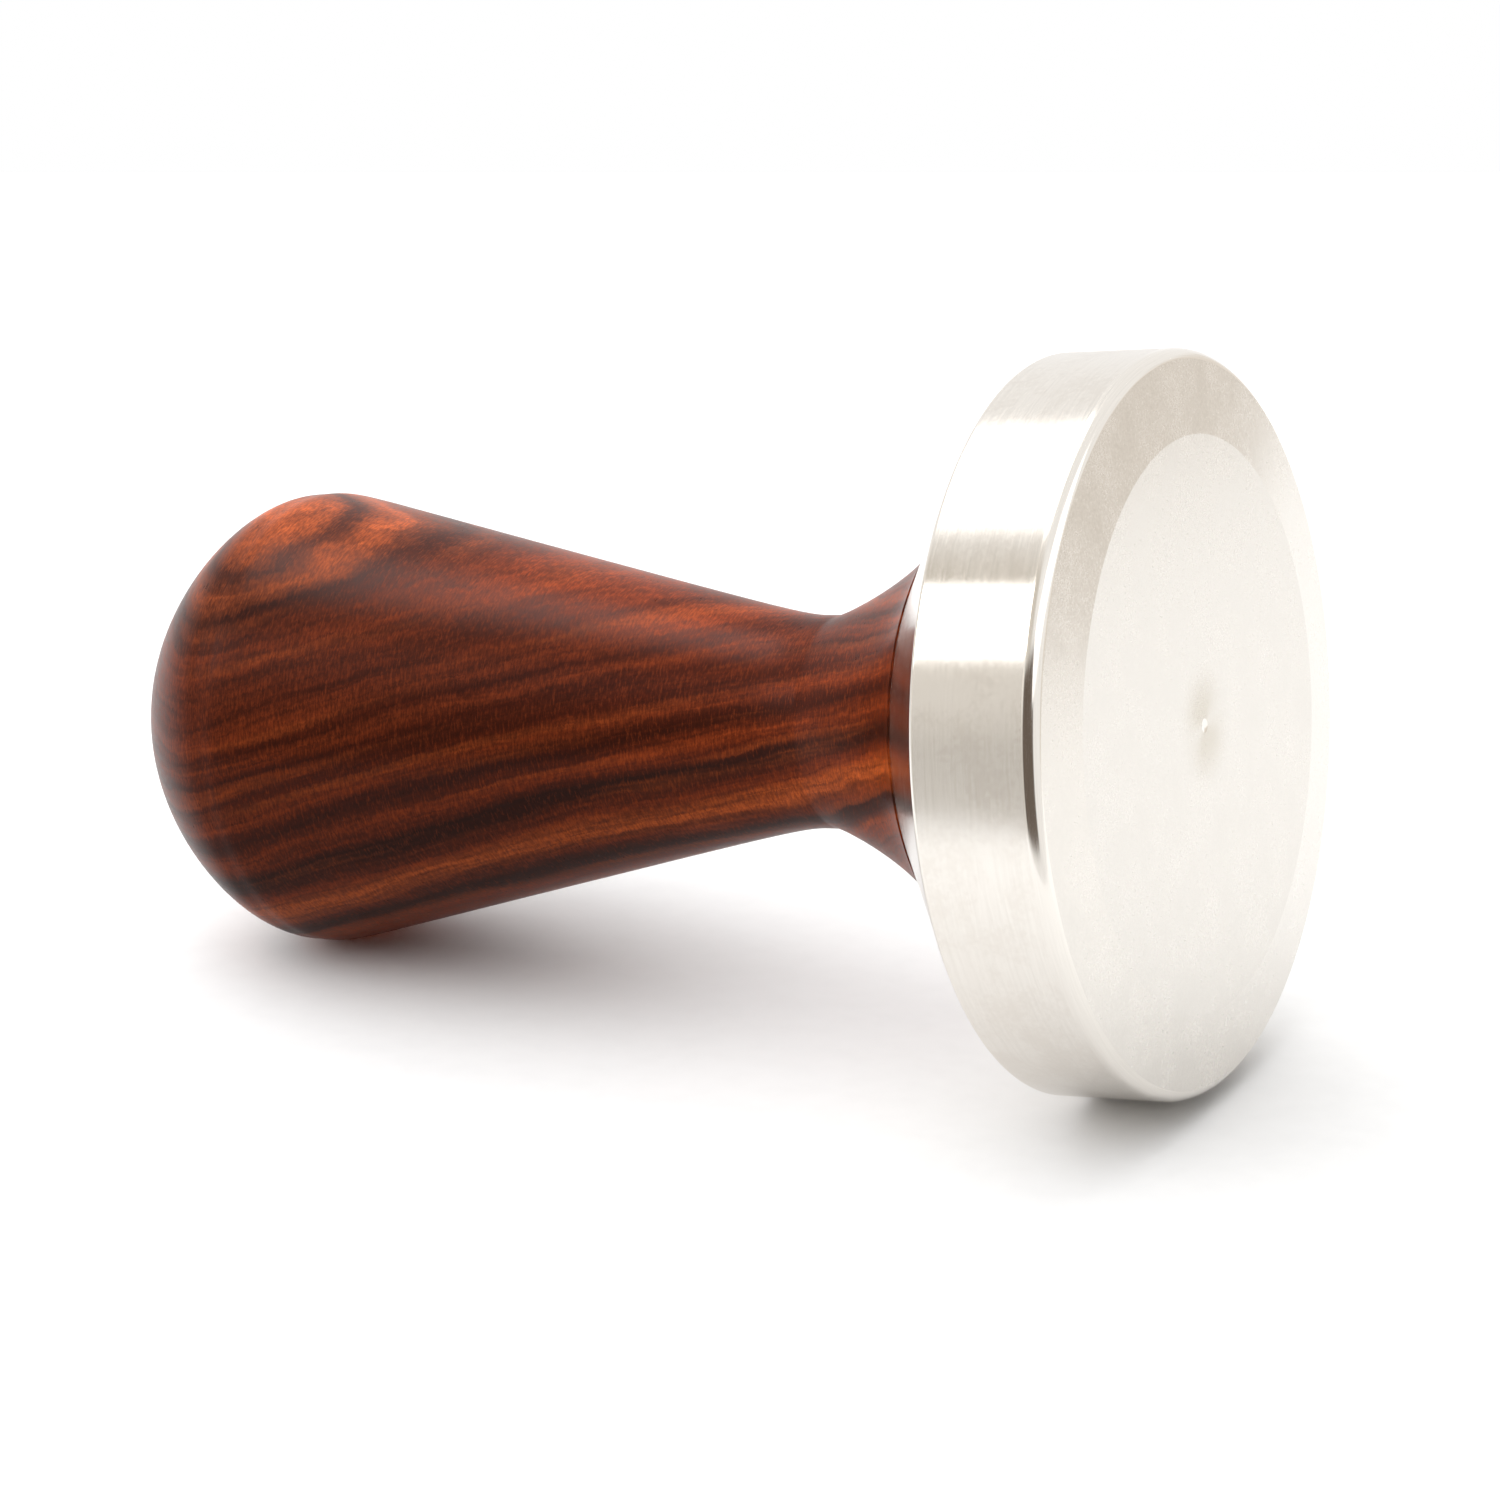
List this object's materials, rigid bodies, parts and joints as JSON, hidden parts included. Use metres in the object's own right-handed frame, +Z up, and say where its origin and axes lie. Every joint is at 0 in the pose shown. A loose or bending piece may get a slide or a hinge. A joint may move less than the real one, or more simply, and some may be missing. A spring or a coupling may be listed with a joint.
{
  "type": "espresso tamper",
  "caption": "Hand tamper for espresso: turned hardwood knob handle screwed to a flat stainless tamping base with a bevelled rim.",
  "frame": {"origin": "middle of the flat tamping face, which the tamper stands on", "axes": "+Z runs up the handle, along the turning axis; X and Y are any two directions across it"},
  "size_m": [0.058, 0.058, 0.0974],
  "materials": {
    "stainless_steel": "turned and brushed rim, polished cone and edges, lapped tamping face",
    "rosewood": "oiled and buffed, satin",
    "brass": "turned",
    "zinc_steel": "zinc plated",
    "spring_steel": "dark oiled spring steel"
  },
  "bodies": {
    "base": {"base": "stainless_steel"},
    "washer": {"lock_washer": "spring_steel"},
    "handle": {"handle_body": "rosewood", "threaded_insert": "brass", "stud": "zinc_steel"}
  },
  "joints": [
    {"name": "unscrew_lift", "type": "slide", "parent": "base", "child": "washer", "axis": [0, 0, 1], "range_m": [0, 0.01]},
    {"name": "unscrew_turn", "type": "hinge", "parent": "washer", "child": "handle", "pos_m": [0, 0, 0.0187], "axis": [0, 0, 1], "range_deg": [0, 2880]}
  ],
  "couplings": [
    {"joint": "unscrew_turn", "follows": "unscrew_lift", "rad_per_m": 5026.5}
  ]
}
